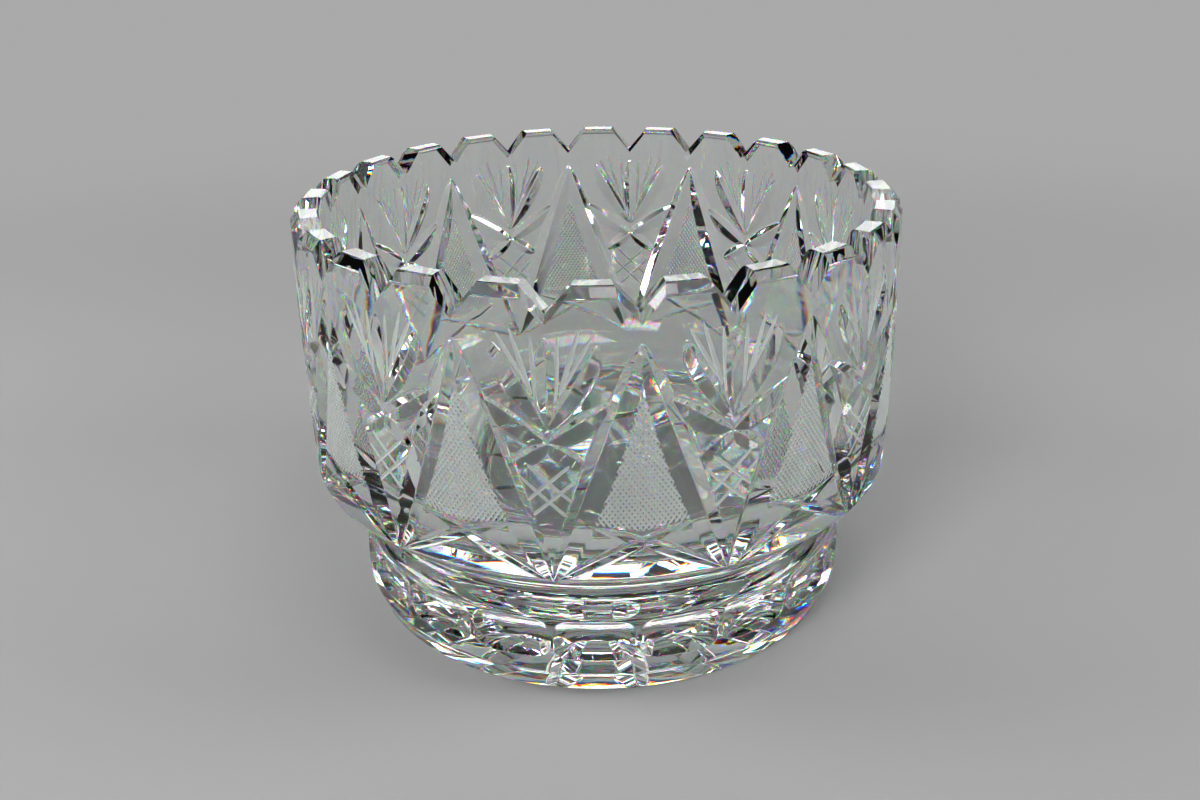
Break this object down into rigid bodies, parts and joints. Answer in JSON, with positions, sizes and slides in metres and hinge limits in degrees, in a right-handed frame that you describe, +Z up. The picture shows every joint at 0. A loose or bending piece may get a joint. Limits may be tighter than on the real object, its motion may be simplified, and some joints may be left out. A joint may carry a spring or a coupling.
{
  "type": "cut crystal bowl",
  "caption": "Straight-sided clear crystal bowl with a scalloped bevelled rim, mitre and leaf cuts round the wall, and a heavy fluted foot.",
  "frame": {"origin": "centre of the foot's standing ring, on the surface that the bowl stands on", "axes": "+Z up along the bowl's axis; -Y towards the front of the pictured view"},
  "size_m": [0.2022, 0.2022, 0.141],
  "materials": {
    "body_crystal": "colourless polished lead crystal with deep polished mitre and leaf cuts and matte grey fine cuts",
    "foot_crystal": "colourless polished lead crystal with polished flutes and radial cuts under the base"
  },
  "bodies": {
    "root": {"bowl_body": "body_crystal", "foot": "foot_crystal"}
  },
  "joints": []
}
